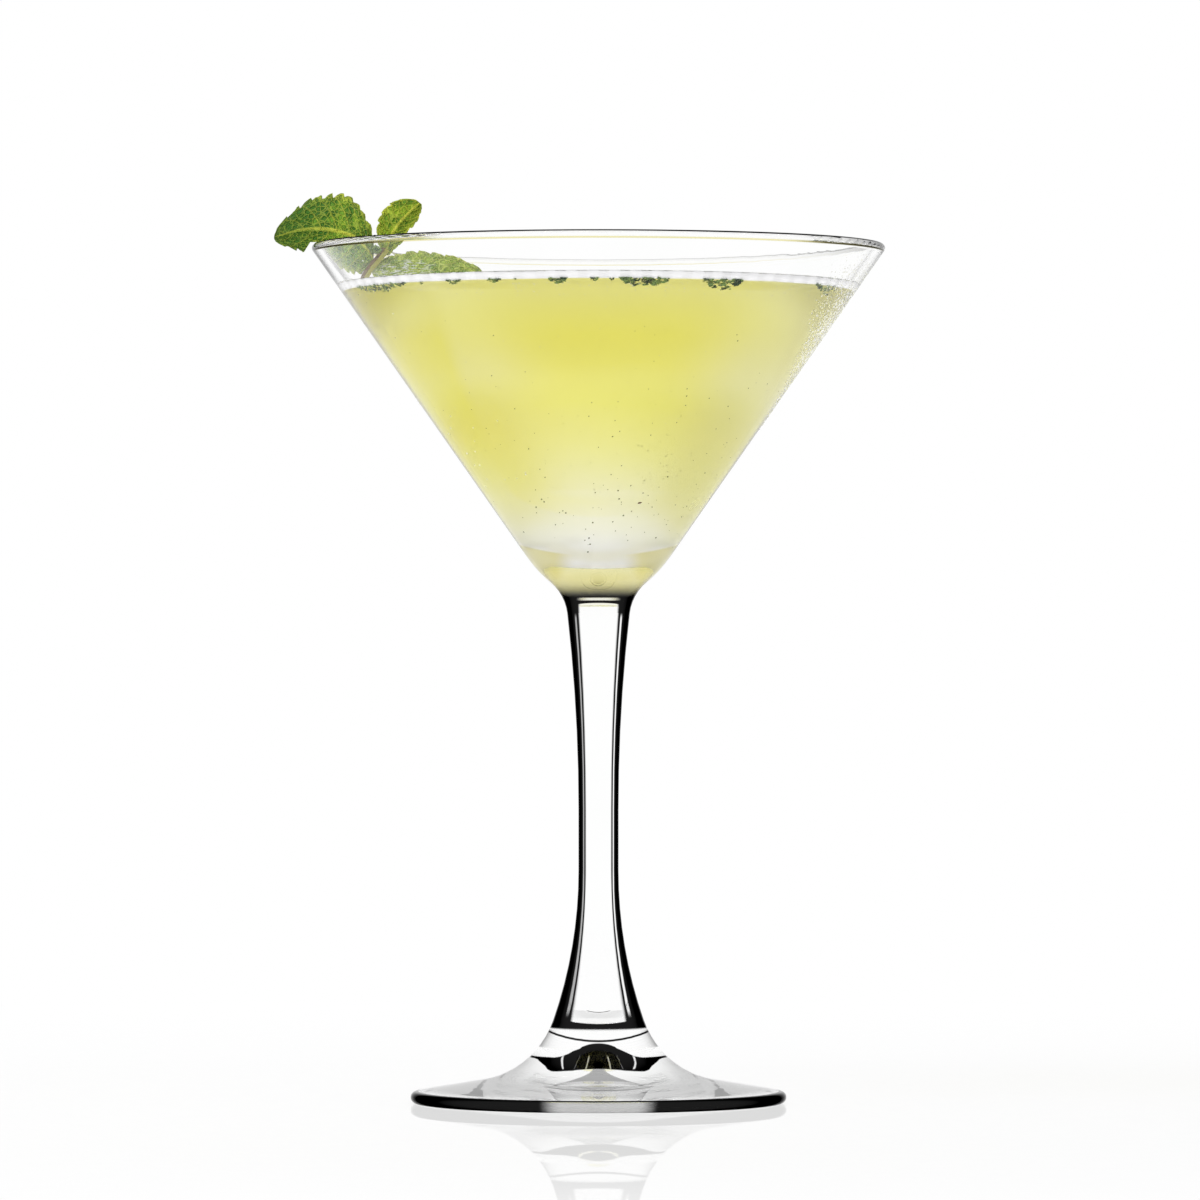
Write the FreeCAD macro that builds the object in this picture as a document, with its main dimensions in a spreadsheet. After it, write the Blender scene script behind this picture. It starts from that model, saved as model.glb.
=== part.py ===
import FreeCAD, Part
import math
import os
import Sketcher
from FreeCAD import Vector

# A stemmed cocktail glass with a pale drink and a sprig of mint that leans on its rim.
# Millimetres. The glass stands on z = 0 with its axis on z. The sprig is on the -x side.

# ---------------------------------------------------------------- driving dimensions
# name: (value, what it sets)
SIZES = {
    "glass_height": (170.0, "table to the top of the lip"),
    "rim_radius": (56.75, "outside of the lip"),
    "wall": (1.8, "thickness of the bowl's wall"),
    "cone_angle": (35.0, "bowl's wall from the upright, degrees"),
    "bottom_round": (26.0, "radius inside the point of the bowl"),
    "heel_lift": (20.2, "from the point of the outer cone up to where the outside leaves it"),
    "heel_round": (25.0, "radius of the outside below the cone"),
    "neck_round": (9.3, "hollow between bowl and stem"),
    "upper_sweep": (339.0, "long hollow curve of the upper stem"),
    "stem_radius": (3.97, "thinnest place of the stem"),
    "waist_top": (58.0, "top of the straight part of the stem"),
    "waist_bottom": (46.0, "bottom of the straight part of the stem"),
    "lower_sweep": (90.0, "long hollow curve of the lower stem"),
    "flare_round": (18.0, "hollow between stem and foot"),
    "foot_slope": (9.5, "fall of the foot's top, degrees"),
    "foot_radius": (37.2, "outside of the foot"),
    "foot_edge": (1.15, "radius of the foot's rounded edge"),
    "ring_inset": (5.2, "edge of the foot to the inside of the ring that it stands on"),
    "foot_hollow": (2.4, "rise of the underside at its middle"),
    "drink_drop": (9.0, "top of the lip down to the surface of the drink"),
    "leaf_thickness": (0.45, "thickness of a mint leaf"),
    "leaf_tooth": (0.08, "depth of a tooth as a share of the half width"),
    "large_length": (21.5, "large leaf, base to tip"),
    "large_rise": (8.3, "large leaf, half above the midrib"),
    "large_fall": (7.0, "large leaf, half below the midrib"),
    "upright_length": (11.6, "upright leaf, base to tip"),
    "upright_half": (4.3, "upright leaf, half width"),
    "floating_length": (25.0, "floating leaf, base to tip"),
    "floating_half": (4.2, "floating leaf, half width"),
    "mint_stem_width": (1.5, "mint stem, across its corners"),
    "mint_stem_dip": (1.0, "end of the mint stem under the surface"),
    "rim_gap": (0.2, "space between a leaf and the glass"),
    "drink_gap": (0.05, "space between a leaf and the surface of the drink"),
    "leaf_gap": (0.12, "space between a leaf and the mint stem"),
}
size = {name: value for name, (value, note) in SIZES.items()}

doc = FreeCAD.newDocument("CocktailWithMint")
sheet = doc.addObject("Spreadsheet::Sheet", "Sizes")
for row, (name, (value, note)) in enumerate(SIZES.items(), start=1):
    sheet.set(f"A{row}", name)
    sheet.set(f"B{row}", str(value))
    sheet.set(f"C{row}", note)
    sheet.setAlias(f"B{row}", name)
doc.recompute()


# ---------------------------------------------------------------- sketch helpers
def polar(centre, radius, degrees):
    """The point at an angle on a circle in the sketch plane."""
    angle = math.radians(degrees)
    return centre + Vector(radius * math.cos(angle), radius * math.sin(angle), 0)


def heading(start, end):
    """The direction from one point to another, in degrees."""
    return math.degrees(math.atan2(end.y - start.y, end.x - start.x))


def meet(centre_a, radius_a, centre_b, radius_b, left):
    """A point where two circles meet: left or right of the line from a to b."""
    apart = (centre_b - centre_a).Length
    along = (apart**2 + radius_a**2 - radius_b**2) / (2 * apart)
    aside = math.sqrt(radius_a**2 - along**2)
    forward = (centre_b - centre_a) / apart
    sideways = Vector(-forward.y, forward.x, 0) * (1 if left else -1)
    return centre_a + forward * along + sideways * aside


class Outline:
    """Lines and arcs laid end to end in a sketch, with names for the pieces."""

    def __init__(self, sketch):
        self.sketch = sketch
        self.index = {}
        self.ends = {}

    def line(self, name, start, end):
        self.index[name] = self.sketch.addGeometry(Part.LineSegment(start, end), False)
        self.ends[name] = (1, 2)

    def arc(self, name, centre, radius, first, last):
        """An arc walked from one angle to the other. A sketch keeps it anticlockwise."""
        circle = Part.Circle(centre, Vector(0, 0, 1), radius)
        low = math.radians(min(first, last))
        high = math.radians(max(first, last))
        self.index[name] = self.sketch.addGeometry(Part.ArcOfCircle(circle, low, high), False)
        self.ends[name] = (1, 2) if first < last else (2, 1)

    def join(self, before, after, smooth):
        kind = "Tangent" if smooth else "Coincident"
        self.sketch.addConstraint(
            Sketcher.Constraint(
                kind,
                self.index[before],
                self.ends[before][1],
                self.index[after],
                self.ends[after][0],
            )
        )

    def close(self, corners):
        """Join every piece to the next: corners lists those that end in a sharp corner."""
        names = list(self.index)
        for before, after in zip(names, names[1:] + names[:1]):
            self.join(before, after, before not in corners)

    def on_axis(self, name, point):
        """Put an end (1 or 2) or a centre (3) on the axis of the glass."""
        self.sketch.addConstraint(
            Sketcher.Constraint("PointOnObject", self.index[name], point, -2)
        )

    def bind(self, label, constraint, expression):
        """Add a dimension whose value comes from the sheet."""
        number = self.sketch.addConstraint(constraint)
        self.sketch.renameConstraint(number, label)
        self.sketch.setExpression(f"Constraints.{label}", expression)

    def radius(self, name, expression, value):
        constraint = Sketcher.Constraint("Radius", self.index[name], value)
        self.bind(f"{name}_radius", constraint, expression)

    def across(self, name, point, expression, value):
        constraint = Sketcher.Constraint("DistanceX", -1, 1, self.index[name], point, value)
        self.bind(f"{name}_across_{point}", constraint, expression)

    def height(self, name, point, expression, value):
        constraint = Sketcher.Constraint("DistanceY", -1, 1, self.index[name], point, value)
        self.bind(f"{name}_height_{point}", constraint, expression)

    def slope(self, name, expression, degrees):
        constraint = Sketcher.Constraint("Angle", self.index[name], math.radians(degrees))
        self.bind(f"{name}_slope", constraint, expression)


def revolved_body(name, label):
    """A body with an empty sketch on its upright XZ plane."""
    body = doc.addObject("PartDesign::Body", name)
    body.Label = label
    sketch = body.newObject("Sketcher::SketchObject", f"{name}Outline")
    sketch.Label = f"{label} outline"
    plane = [part for part in body.Origin.OriginFeatures if part.Role == "XZ_Plane"][0]
    sketch.AttachmentSupport = [(plane, "")]
    sketch.MapMode = "FlatFace"
    return body, sketch


def revolve(body, sketch):
    turn = body.newObject("PartDesign::Revolution", f"{body.Name}Turn")
    turn.Label = f"{body.Label} turned"
    turn.Profile = sketch
    turn.ReferenceAxis = (sketch, ["V_Axis"])
    turn.Angle = 360.0
    sketch.Visibility = False


# ---------------------------------------------------------------- the bowl's cone
half_wall = size["wall"] / 2
cone = size["cone_angle"]
sine = math.sin(math.radians(cone))
cosine = math.cos(math.radians(cone))
slant = sine / cosine
outward = Vector(cosine, -sine, 0)

lip_centre = Vector(size["rim_radius"] - half_wall, size["glass_height"] - half_wall, 0)
lip_outside = lip_centre + outward * half_wall
lip_inside = lip_centre - outward * half_wall
inner_point = lip_inside.y - lip_inside.x / slant
outer_point = lip_outside.y - lip_outside.x / slant
heel_height = outer_point + size["heel_lift"]
bottom_centre = Vector(0, inner_point + size["bottom_round"] / sine, 0)
bottom_height = bottom_centre.y - size["bottom_round"]

CONE = "(Sizes.cone_angle * 1 deg)"
INNER_POINT = (
    f"Sizes.glass_height - Sizes.wall / 2 * (1 - sin{CONE})"
    f" - (Sizes.rim_radius - Sizes.wall / 2 * (1 + cos{CONE})) / tan{CONE}"
)
OUTER_POINT = (
    f"Sizes.glass_height - Sizes.wall / 2 * (1 + sin{CONE})"
    f" - (Sizes.rim_radius - Sizes.wall / 2 * (1 - cos{CONE})) / tan{CONE}"
)
BOTTOM_HEIGHT = f"{INNER_POINT} + Sizes.bottom_round * (1 / sin{CONE} - 1)"


def inner_radius(height):
    """Inside of the bowl at a height on its straight wall."""
    return (height - inner_point) * slant


def outer_radius(height):
    """Outside of the bowl at a height on its straight wall."""
    return (height - outer_point) * slant


# ---------------------------------------------------------------- glass
glass, glass_sketch = revolved_body("Glass", "glass")
outline = Outline(glass_sketch)

# foot: hollow underside, flat ring, rounded edge, gently sloping top
ring = Vector(size["foot_radius"] - size["ring_inset"], 0, 0)
under_radius = (ring.x**2 + size["foot_hollow"] ** 2) / (2 * size["foot_hollow"])
under_centre = Vector(0, size["foot_hollow"] - under_radius, 0)
edge_centre = Vector(size["foot_radius"] - size["foot_edge"], size["foot_edge"], 0)
top_facing = 90 - size["foot_slope"]
foot_edge_top = polar(edge_centre, size["foot_edge"], top_facing)

# lower stem: two hollow curves, the tighter one running out on the foot
lower_centre = Vector(size["stem_radius"] + size["lower_sweep"], size["waist_bottom"], 0)
above_foot = polar(foot_edge_top, size["flare_round"], top_facing)
inward = polar(Vector(0, 0, 0), 1, top_facing + 90)
reach = size["lower_sweep"] - size["flare_round"]
offset = above_foot - lower_centre
halfway = offset.dot(inward)
flare_centre = above_foot + inward * (
    -halfway - math.sqrt(halfway**2 - offset.dot(offset) + reach**2)
)
if flare_centre.x > edge_centre.x:
    flare_centre = above_foot + inward * (
        -halfway + math.sqrt(halfway**2 - offset.dot(offset) + reach**2)
    )
flare_meets = heading(lower_centre, flare_centre) % 360
flare_foot = polar(flare_centre, size["flare_round"], top_facing + 180)

# upper stem: a long hollow curve, the neck, and the rounded heel of the bowl
upper_centre = Vector(size["stem_radius"] + size["upper_sweep"], size["waist_top"], 0)
heel_point = Vector(outer_radius(heel_height), heel_height, 0)
heel_centre = heel_point - outward * size["heel_round"]
neck_centre = meet(
    upper_centre,
    size["upper_sweep"] - size["neck_round"],
    heel_centre,
    size["heel_round"] + size["neck_round"],
    left=True,
)
neck_low = heading(upper_centre, neck_centre) % 360
neck_high = heading(neck_centre, heel_centre) % 360
heel_low = heading(heel_centre, neck_centre)

waist_low = Vector(size["stem_radius"], size["waist_bottom"], 0)
waist_high = Vector(size["stem_radius"], size["waist_top"], 0)
bottom_end = polar(bottom_centre, size["bottom_round"], -cone)

outline.arc("under", under_centre, under_radius, 90, heading(under_centre, ring))
outline.line("stand", ring, Vector(edge_centre.x, 0, 0))
outline.arc("edge", edge_centre, size["foot_edge"], -90, top_facing)
outline.line("foot", foot_edge_top, flare_foot)
outline.arc("flare", flare_centre, size["flare_round"], top_facing + 180, flare_meets)
outline.arc("lower", lower_centre, size["lower_sweep"], flare_meets, 180)
outline.line("waist", waist_low, waist_high)
outline.arc("upper", upper_centre, size["upper_sweep"], 180, neck_low)
outline.arc("neck", neck_centre, size["neck_round"], neck_low, neck_high)
outline.arc("heel", heel_centre, size["heel_round"], heel_low, -cone)
outline.line("cone", heel_point, lip_outside)
outline.arc("lip", lip_centre, half_wall, -cone, 180 - cone)
outline.line("inside", lip_inside, bottom_end)
outline.arc("bottom", bottom_centre, size["bottom_round"], -cone, -90)
outline.line("axis", Vector(0, bottom_height, 0), Vector(0, size["foot_hollow"], 0))
outline.close(corners=("under", "bottom", "axis"))

outline.on_axis("axis", 1)
outline.on_axis("axis", 2)
outline.on_axis("under", 3)
outline.on_axis("bottom", 3)
outline.height("axis", 2, "Sizes.foot_hollow", size["foot_hollow"])
outline.height("stand", 1, "0", 0)
outline.height("stand", 2, "0", 0)
outline.across("stand", 1, "Sizes.foot_radius - Sizes.ring_inset", ring.x)
outline.across("edge", 3, "Sizes.foot_radius - Sizes.foot_edge", edge_centre.x)
outline.radius("edge", "Sizes.foot_edge", size["foot_edge"])
outline.slope("foot", "(180 - Sizes.foot_slope) * 1 deg", 180 - size["foot_slope"])
outline.radius("flare", "Sizes.flare_round", size["flare_round"])
outline.radius("lower", "Sizes.lower_sweep", size["lower_sweep"])
outline.across("waist", 1, "Sizes.stem_radius", size["stem_radius"])
outline.across("waist", 2, "Sizes.stem_radius", size["stem_radius"])
outline.height("waist", 1, "Sizes.waist_bottom", size["waist_bottom"])
outline.height("waist", 2, "Sizes.waist_top", size["waist_top"])
outline.radius("upper", "Sizes.upper_sweep", size["upper_sweep"])
outline.radius("neck", "Sizes.neck_round", size["neck_round"])
outline.radius("heel", "Sizes.heel_round", size["heel_round"])
outline.height("cone", 1, f"{OUTER_POINT} + Sizes.heel_lift", heel_height)
outline.slope("cone", "(90 - Sizes.cone_angle) * 1 deg", 90 - cone)
outline.radius("lip", "Sizes.wall / 2", half_wall)
outline.across("lip", 3, "Sizes.rim_radius - Sizes.wall / 2", lip_centre.x)
outline.height("lip", 3, "Sizes.glass_height - Sizes.wall / 2", lip_centre.y)
outline.slope("inside", "-(90 + Sizes.cone_angle) * 1 deg", -90 - cone)
outline.radius("bottom", "Sizes.bottom_round", size["bottom_round"])
revolve(glass, glass_sketch)


# ---------------------------------------------------------------- mint stem
# The sprig leans on the inside of the wall. Its places are measured from the rim's -x side.
rim = Vector(-size["rim_radius"], 0, size["glass_height"])
surface = size["glass_height"] - size["drink_drop"]
stem_foot = Vector(
    -inner_radius(surface) + size["mint_stem_width"] + 1.2,
    -3.0,
    surface - size["mint_stem_dip"],
)
stem_knee = Vector(stem_foot.x + 0.4, -2.6, surface + 2.8)
stem_crook = rim + Vector(13.6, -1.6, -2.4)
stem_top = rim + Vector(14.6, -1.0, -0.9)

spine = doc.addObject("Part::Feature", "MintStemSpine")
spine.Label = "mint stem spine"
spine_curve = Part.BSplineCurve()
spine_curve.interpolate([stem_foot, stem_knee, stem_crook, stem_top])
spine.Shape = Part.Wire([spine_curve.toShape()])


def on_stem(share, towards):
    """A point beside the mint stem: share runs up its length, towards points out of it."""
    first = spine_curve.FirstParameter
    last = spine_curve.LastParameter
    beside = size["mint_stem_width"] / 2 + size["leaf_gap"]
    return spine_curve.value(first + share * (last - first)) + towards * beside


section = doc.addObject("Part::RegularPolygon", "MintStemSection")
section.Label = "mint stem section"
section.Polygon = 4
section.setExpression("Circumradius", "Sizes.mint_stem_width / 2")
start_way = spine_curve.tangent(spine_curve.FirstParameter)[0]
section.Placement = FreeCAD.Placement(
    stem_foot, FreeCAD.Rotation(Vector(0, 0, 1), start_way)
)

mint_stem = doc.addObject("Part::Sweep", "MintStem")
mint_stem.Label = "mint stem"
mint_stem.Sections = [section]
mint_stem.Spine = (spine, [])
mint_stem.Solid = True
mint_stem.Frenet = False


# ---------------------------------------------------------------- mint leaves
TEETH = 8
ACROSS = 5
LIP_MARGIN = 0.6


def along(points, share):
    """A point on the Bezier curve through the first and last of four points."""
    rest = 1 - share
    weights = (rest**3, 3 * rest**2 * share, 3 * rest * share**2, share**3)
    total = Vector(0, 0, 0)
    for point, weight in zip(points, weights):
        total += point * weight
    return total


def leaf_width(share, widest):
    """Half width from base (0) to tip (1), as a share of the widest place."""
    swell = share ** (math.log(0.5) / math.log(widest))
    return 0.07 + 0.93 * math.sin(math.pi * swell) ** 0.7


def blade(midrib, upper, lower, widest, bend, lobe):
    """A leaf's middle surface: share runs from base to tip, side from -1 to 1.

    midrib holds four points. upper and lower point across the two halves and carry
    their widths, each as a pair: at the base and at the tip. bend moves the margins
    aside, as in a cupped leaf, and lobe draws the upper margin near the base backwards,
    round the stalk.
    """

    def surface_point(share, side, notch):
        at_base, at_tip = upper if side > 0 else lower
        half = at_base * (1 - share) + at_tip * share
        width = leaf_width(share, widest) * (1 - notch * side**2)
        cup = bend * (side**2 * math.sin(math.pi * share))
        back = lobe * (max(side, 0) ** 2 * width * (1 - share) ** 2)
        return along(midrib, share) + half * (abs(side) * width) + cup + back

    return surface_point


def leaf_solid(surface_point, settle):
    """A closed thin solid: the middle surface moved half the thickness to each side.

    settle moves a point that would lie in the glass.
    """
    stations = 2 * TEETH + 1
    middle = {}
    for i in range(stations + 1):
        share = 0.5 * (1 - math.cos(math.pi * i / stations)) * 0.25 + 0.75 * i / stations
        notch = size["leaf_tooth"] * (i % 2)
        for j in range(-ACROSS, ACROSS + 1):
            middle[i, j] = settle(surface_point(share, j / ACROSS, notch))

    def normal(i, j):
        before = middle[max(i - 1, 0), j]
        after = middle[min(i + 1, stations), j]
        left = middle[i, max(j - 1, -ACROSS)]
        right = middle[i, min(j + 1, ACROSS)]
        return (after - before).cross(right - left).normalize()

    front = {}
    back = {}
    for (i, j), point in middle.items():
        thin = 1.0 if abs(j) < ACROSS else 0.45
        shift = normal(i, j) * (size["leaf_thickness"] / 2 * thin)
        front[i, j] = point + shift
        back[i, j] = point - shift

    faces = []

    def quad(a, b, c, d):
        for corners in ((a, b, c), (a, c, d)):
            faces.append(Part.Face(Part.makePolygon([*corners, corners[0]])))

    for i in range(stations):
        for j in range(-ACROSS, ACROSS):
            quad(front[i, j], front[i + 1, j], front[i + 1, j + 1], front[i, j + 1])
            quad(back[i, j], back[i, j + 1], back[i + 1, j + 1], back[i + 1, j])
        for j in (-ACROSS, ACROSS):
            quad(front[i, j], back[i, j], back[i + 1, j], front[i + 1, j])
    for i in (0, stations):
        for j in range(-ACROSS, ACROSS):
            quad(front[i, j], front[i, j + 1], back[i, j + 1], back[i, j])
    shell = Part.Shell(Part.makeShell(faces).Faces)
    solid = Part.makeSolid(shell)
    if solid.Volume < 0:
        solid.reverse()
    return solid


def over_the_rim(point):
    """Lift a leaf's point to the glass that carries it: the wall's inside, then the lip."""
    gap = size["rim_gap"] + size["leaf_thickness"] / 2
    radius = math.hypot(point.x, point.y)
    if radius > size["rim_radius"] + gap + LIP_MARGIN:
        return point
    on_wall = inner_point + (radius + gap / cosine) / slant
    on_lip = size["glass_height"] + gap
    return Vector(point.x, point.y, max(point.z, min(on_wall, on_lip)))


def on_the_drink(point):
    """Lift a leaf's point to the surface of the drink."""
    lowest = surface + size["leaf_thickness"] / 2 + size["drink_gap"]
    return Vector(point.x, point.y, max(point.z, lowest))


def as_it_is(point):
    return point


def add_leaf(name, label, surface_point, settle):
    leaf = doc.addObject("Part::Feature", name)
    leaf.Label = label
    leaf.Shape = leaf_solid(surface_point, settle)
    return leaf


# large leaf: its midrib passes over the rim, the lower half hangs down on both sides
large_base = on_stem(0.58, Vector(-1.3, 0.6, 0.5))
large_tip = large_base + Vector(-0.91, -0.03, 0.19) * size["large_length"]
large_midrib = (
    large_base,
    large_base + Vector(-2.4, -0.5, 5.8),
    large_tip + Vector(9.0, -0.6, 3.2),
    large_tip,
)
large_leaf = add_leaf(
    "MintLeafLarge",
    "large mint leaf",
    blade(
        large_midrib,
        (Vector(0.02, 0.45, 1.0) * size["large_rise"],) * 2,
        (
            Vector(-0.22, -0.25, -0.90) * size["large_fall"],
            Vector(0.10, -0.35, -0.50) * size["large_fall"],
        ),
        widest=0.4,
        bend=Vector(0.0, 1.4, 0.0),
        lobe=Vector(3.0, 0.3, 0.0),
    ),
    over_the_rim,
)

# upright leaf: rises from the top of the stem
upright_base = stem_top + Vector(0.15, 0.2, 0.4)
upright_tip = upright_base + Vector(0.34, 0.22, 0.91) * size["upright_length"]
upright_midrib = (
    upright_base,
    upright_base + Vector(0.4, 0.2, 3.6),
    upright_tip + Vector(-0.6, 0.4, -4.0),
    upright_tip,
)
upright_leaf = add_leaf(
    "MintLeafUpright",
    "upright mint leaf",
    blade(
        upright_midrib,
        (Vector(0.93, 0.25, -0.10) * size["upright_half"],) * 2,
        (Vector(-0.94, 0.30, 0.20) * size["upright_half"],) * 2,
        widest=0.6,
        bend=Vector(0.0, -0.9, 0.0),
        lobe=Vector(0.0, 0.0, 0.0),
    ),
    as_it_is,
)

# floating leaf: from the foot of the sprig out over the drink, its tip on the surface
floating_base = on_stem(0.40, Vector(1.5, 0.0, -0.3))
floating_tip = floating_base + Vector(0.98, 0.10, 0.0) * size["floating_length"]
floating_tip.z = surface + 0.9
floating_midrib = (
    floating_base,
    floating_base + Vector(6.0, 0.6, 1.0),
    floating_tip + Vector(-8.0, 0.0, 3.9),
    floating_tip,
)
floating_leaf = add_leaf(
    "MintLeafFloating",
    "floating mint leaf",
    blade(
        floating_midrib,
        (Vector(0.05, 0.55, 0.85) * size["floating_half"],) * 2,
        (Vector(0.05, -0.75, -0.60) * size["floating_half"],) * 2,
        widest=0.42,
        bend=Vector(0.0, 0.5, 0.2),
        lobe=Vector(0.0, 0.0, 0.0),
    ),
    on_the_drink,
)

# ---------------------------------------------------------------- drink
drink_body, drink_sketch = revolved_body("DrinkBody", "drink before the stem is cut out")
surface_radius = inner_radius(surface)
drink_line = Outline(drink_sketch)
drink_line.arc("bottom", bottom_centre, size["bottom_round"], -90, -cone)
drink_line.line("side", bottom_end, Vector(surface_radius, surface, 0))
drink_line.line("top", Vector(surface_radius, surface, 0), Vector(0, surface, 0))
drink_line.line("axis", Vector(0, surface, 0), Vector(0, bottom_height, 0))
drink_line.close(corners=("side", "top", "axis"))
drink_line.on_axis("bottom", 3)
drink_line.on_axis("axis", 1)
drink_line.on_axis("axis", 2)
drink_line.radius("bottom", "Sizes.bottom_round", size["bottom_round"])
drink_line.height("axis", 2, BOTTOM_HEIGHT, bottom_height)
drink_line.slope("side", "(90 - Sizes.cone_angle) * 1 deg", 90 - cone)
drink_line.height("top", 1, "Sizes.glass_height - Sizes.drink_drop", surface)
drink_line.height("top", 2, "Sizes.glass_height - Sizes.drink_drop", surface)
revolve(drink_body, drink_sketch)

drink = doc.addObject("Part::Cut", "Drink")
drink.Label = "drink"
drink.Base = drink_body
drink.Tool = mint_stem

# ---------------------------------------------------------------- check and write
doc.recompute()

PARTS = {
    "glass": glass,
    "drink": drink,
    "mint_stem": mint_stem,
    "mint_leaf_large": large_leaf,
    "mint_leaf_upright": upright_leaf,
    "mint_leaf_floating": floating_leaf,
}
for entry in doc.Objects:
    if "Invalid" in entry.State or "Error" in entry.State:
        raise RuntimeError(f"{entry.Label} did not build: {entry.State}")

os.makedirs("parts", exist_ok=True)
for name, entry in PARTS.items():
    shape = entry.Shape
    if shape.isNull() or not shape.isValid():
        raise RuntimeError(f"{name} is not a valid shape")
    shape.exportStep(f"parts/{name}.step")
    print(f"{name}: {shape.Volume / 1000:.3f} ml, {len(shape.Faces)} faces, {shape.BoundBox}")
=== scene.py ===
# %% [markdown]
# # A cocktail with mint
# The object is a V-shaped stemmed glass with a pale yellow-green drink and a sprig of
# mint on its rim. Everything is in metres, in the frame of the CAD model: the glass
# stands on z = 0 with its axis on z, and the sprig leans on the -x side of the rim.

import math
import random

import bpy
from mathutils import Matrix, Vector, noise


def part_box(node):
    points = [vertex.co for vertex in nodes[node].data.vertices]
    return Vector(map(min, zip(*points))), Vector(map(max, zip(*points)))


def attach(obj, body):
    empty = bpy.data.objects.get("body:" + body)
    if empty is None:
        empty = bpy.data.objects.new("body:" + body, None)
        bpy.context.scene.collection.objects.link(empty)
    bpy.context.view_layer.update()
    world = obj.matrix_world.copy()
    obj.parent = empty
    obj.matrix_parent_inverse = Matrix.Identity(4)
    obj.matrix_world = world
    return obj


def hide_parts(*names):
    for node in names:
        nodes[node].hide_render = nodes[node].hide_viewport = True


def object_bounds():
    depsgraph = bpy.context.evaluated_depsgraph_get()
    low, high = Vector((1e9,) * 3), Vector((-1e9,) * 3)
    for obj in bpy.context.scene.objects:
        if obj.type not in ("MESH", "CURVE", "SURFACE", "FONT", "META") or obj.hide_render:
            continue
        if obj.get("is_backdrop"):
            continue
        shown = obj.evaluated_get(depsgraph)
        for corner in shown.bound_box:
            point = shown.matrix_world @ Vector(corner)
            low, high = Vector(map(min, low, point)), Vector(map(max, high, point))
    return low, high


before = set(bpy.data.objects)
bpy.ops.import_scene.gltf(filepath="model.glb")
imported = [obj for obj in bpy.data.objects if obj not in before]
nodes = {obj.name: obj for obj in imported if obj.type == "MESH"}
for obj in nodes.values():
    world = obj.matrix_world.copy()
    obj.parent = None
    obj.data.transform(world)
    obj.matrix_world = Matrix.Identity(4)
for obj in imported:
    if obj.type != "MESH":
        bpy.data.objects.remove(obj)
cad_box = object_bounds()
scene = bpy.context.scene
MM = 0.001
print("the object's box:", [[round(c, 4) for c in corner] for corner in cad_box])

# %% [markdown]
# ## Camera
# A product like this is seen with a long lens from far away, which keeps its rim and its
# foot almost flat. The camera stands at half the height of the glass, so it looks up at
# the lip and down on the foot. Light crosses many surfaces of glass and drink before it
# reaches the lens, so it may bend and mirror more often than Blender allows at first.

# %% Camera
EYE_HEIGHT = 89.6 * MM
EYE_DISTANCE = 1574.0 * MM
AIM_HEIGHT = 99.5 * MM
ASIDE = 0.3 * MM
camera_data = bpy.data.cameras.new("Camera")
camera_data.lens = 238.5
camera = bpy.data.objects.new("Camera", camera_data)
scene.collection.objects.link(camera)
camera.location = (ASIDE, -EYE_DISTANCE, EYE_HEIGHT)
aim = Vector((ASIDE, 0.0, AIM_HEIGHT))
camera.rotation_euler = (aim - camera.location).to_track_quat("-Z", "Y").to_euler()
scene.camera = camera
scene.view_settings.view_transform = "Standard"
scene.cycles.max_bounces = 24
scene.cycles.glossy_bounces = 16
scene.cycles.transmission_bounces = 24
print("camera at", tuple(round(c, 4) for c in camera.location))

# %% [markdown]
# ## Measures of the bowl
# The drink, the chopped mint and the droplets all follow the wall of the bowl. Inside, the
# wall is a straight cone above a rounded bottom, so a few numbers from the frame's boxes
# give every radius that the loose pieces need.

# %% Measures of the bowl
drink_low, drink_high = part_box("drink")
glass_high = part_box("glass")[1]
LEVEL = drink_high.z
LIP = glass_high.z
RIM = glass_high.x
WALL = 1.8 * MM
CONE = math.radians(35)
SLANT = math.tan(CONE)
inner_point = LEVEL - drink_high.x / SLANT
outer_point = inner_point - WALL / math.sin(CONE)
bottom_radius = (drink_low.z - inner_point) / (1 / math.sin(CONE) - 1)
bottom_centre = inner_point + bottom_radius / math.sin(CONE)
print("drink's surface at", round(LEVEL / MM, 1), "mm, radius", round(drink_high.x / MM, 1))
print("round bottom of radius", round(bottom_radius / MM, 1), "mm")


def inside(height):
    """Inner radius of the bowl at a height on its straight wall."""
    return (height - inner_point) * SLANT


def outside(height):
    """Outer radius of the bowl at a height on its straight wall."""
    return (height - outer_point) * SLANT


# %% [markdown]
# ## Shader maths in plain sums
# A material is a graph of nodes. Written node by node it is long and hard to follow, so
# one small class stands for a socket, and a sum on it adds the Math nodes. Colours and
# directions need their own nodes, because a Math node turns a colour grey.

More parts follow.
